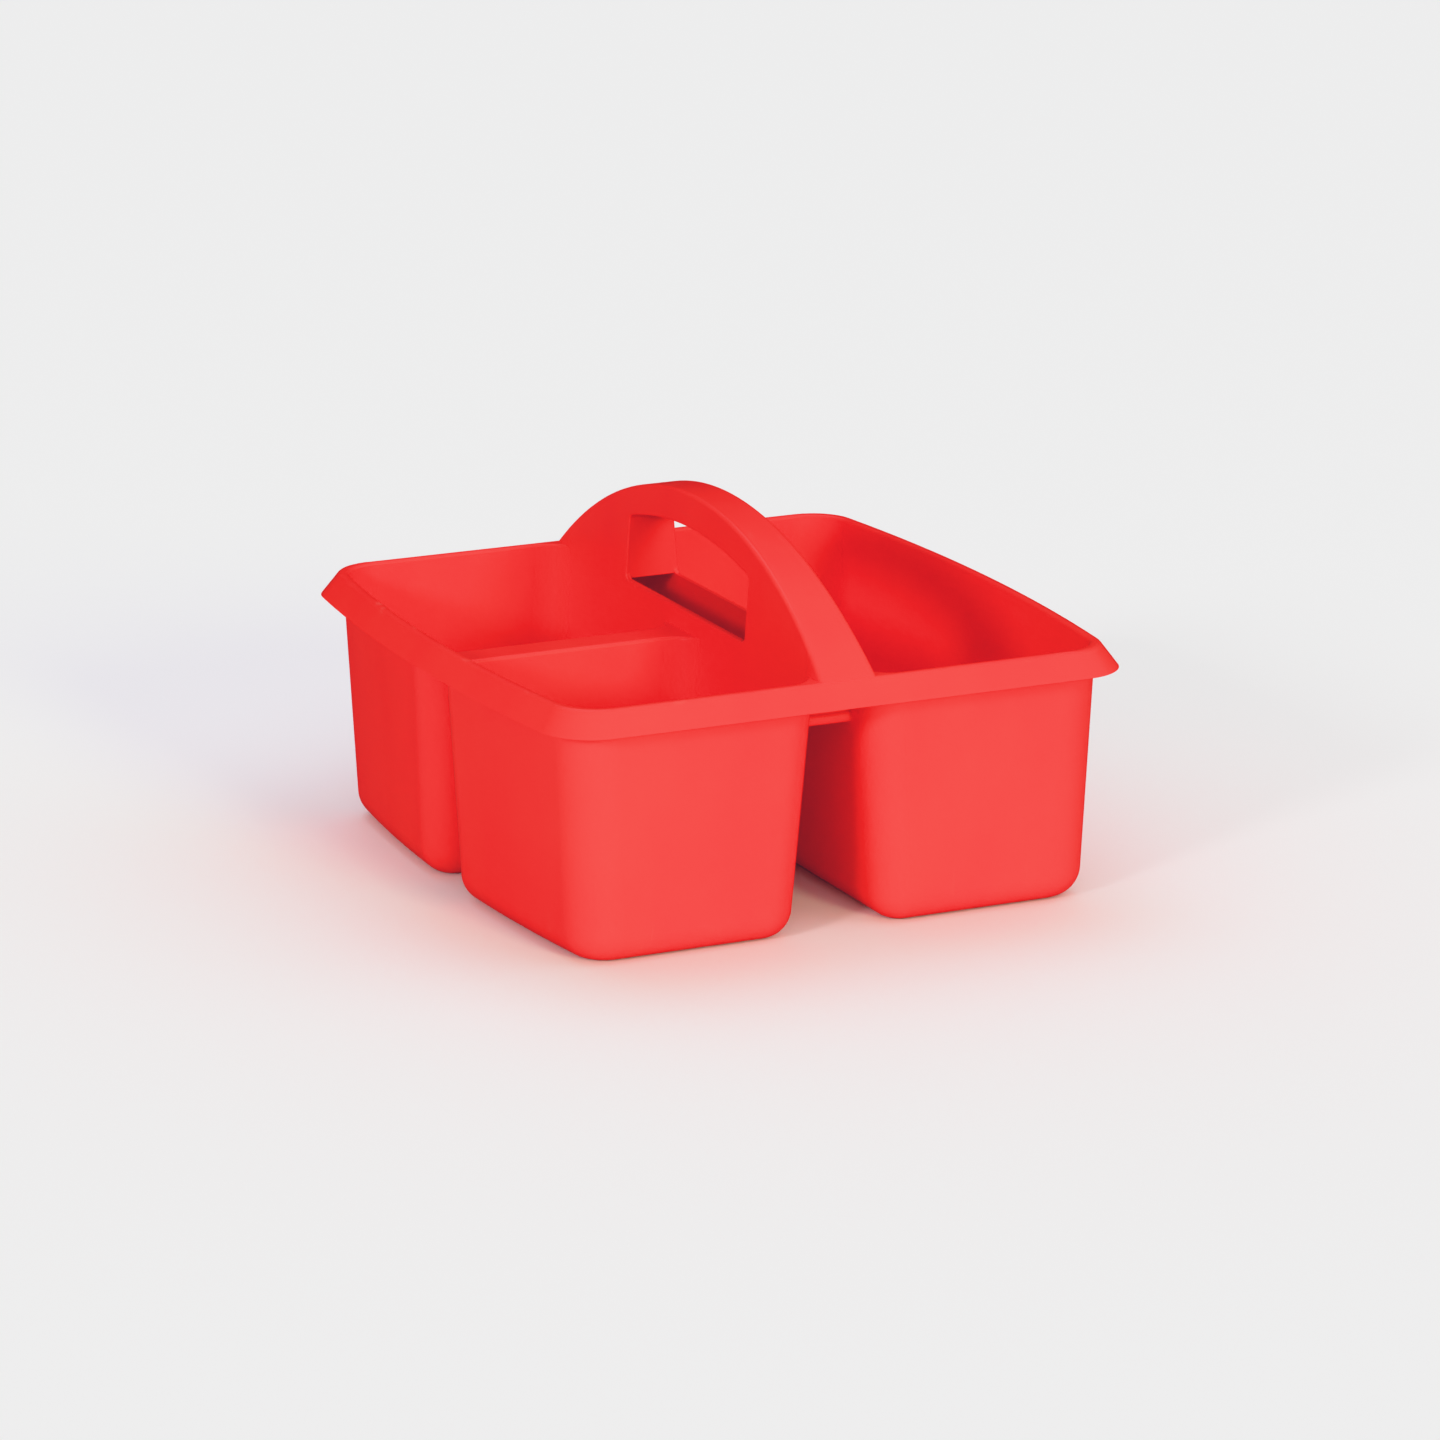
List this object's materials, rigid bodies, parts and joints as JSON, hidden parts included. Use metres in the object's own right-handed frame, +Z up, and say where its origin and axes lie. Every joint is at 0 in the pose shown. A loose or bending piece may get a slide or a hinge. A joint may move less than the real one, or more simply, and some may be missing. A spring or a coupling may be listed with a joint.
{
  "type": "cleaning caddy",
  "caption": "Open carry tray with one long bin, two small bins, a sloping rim and an arched carry handle between them.",
  "frame": {"origin": "centre of the footprint on the surface the caddy stands on", "axes": "+Z up, +X towards the long bin, +Y from the front rim to the back rim, along the handle"},
  "size_m": [0.2286, 0.2358, 0.133],
  "materials": {
    "bin_plastic": "smooth moulded red polypropylene",
    "rim_plastic": "smooth moulded red polypropylene",
    "handle_plastic": "smooth moulded red polypropylene"
  },
  "bodies": {
    "root": {"large_bin": "bin_plastic", "front_small_bin": "bin_plastic", "rear_small_bin": "bin_plastic", "divider_saddle": "bin_plastic", "rim": "rim_plastic", "handle_band": "handle_plastic", "left_handle_side": "handle_plastic", "right_handle_side": "handle_plastic", "front_grip_wall": "handle_plastic", "rear_grip_wall": "handle_plastic", "front_apron": "bin_plastic", "rear_apron": "bin_plastic"}
  },
  "joints": []
}
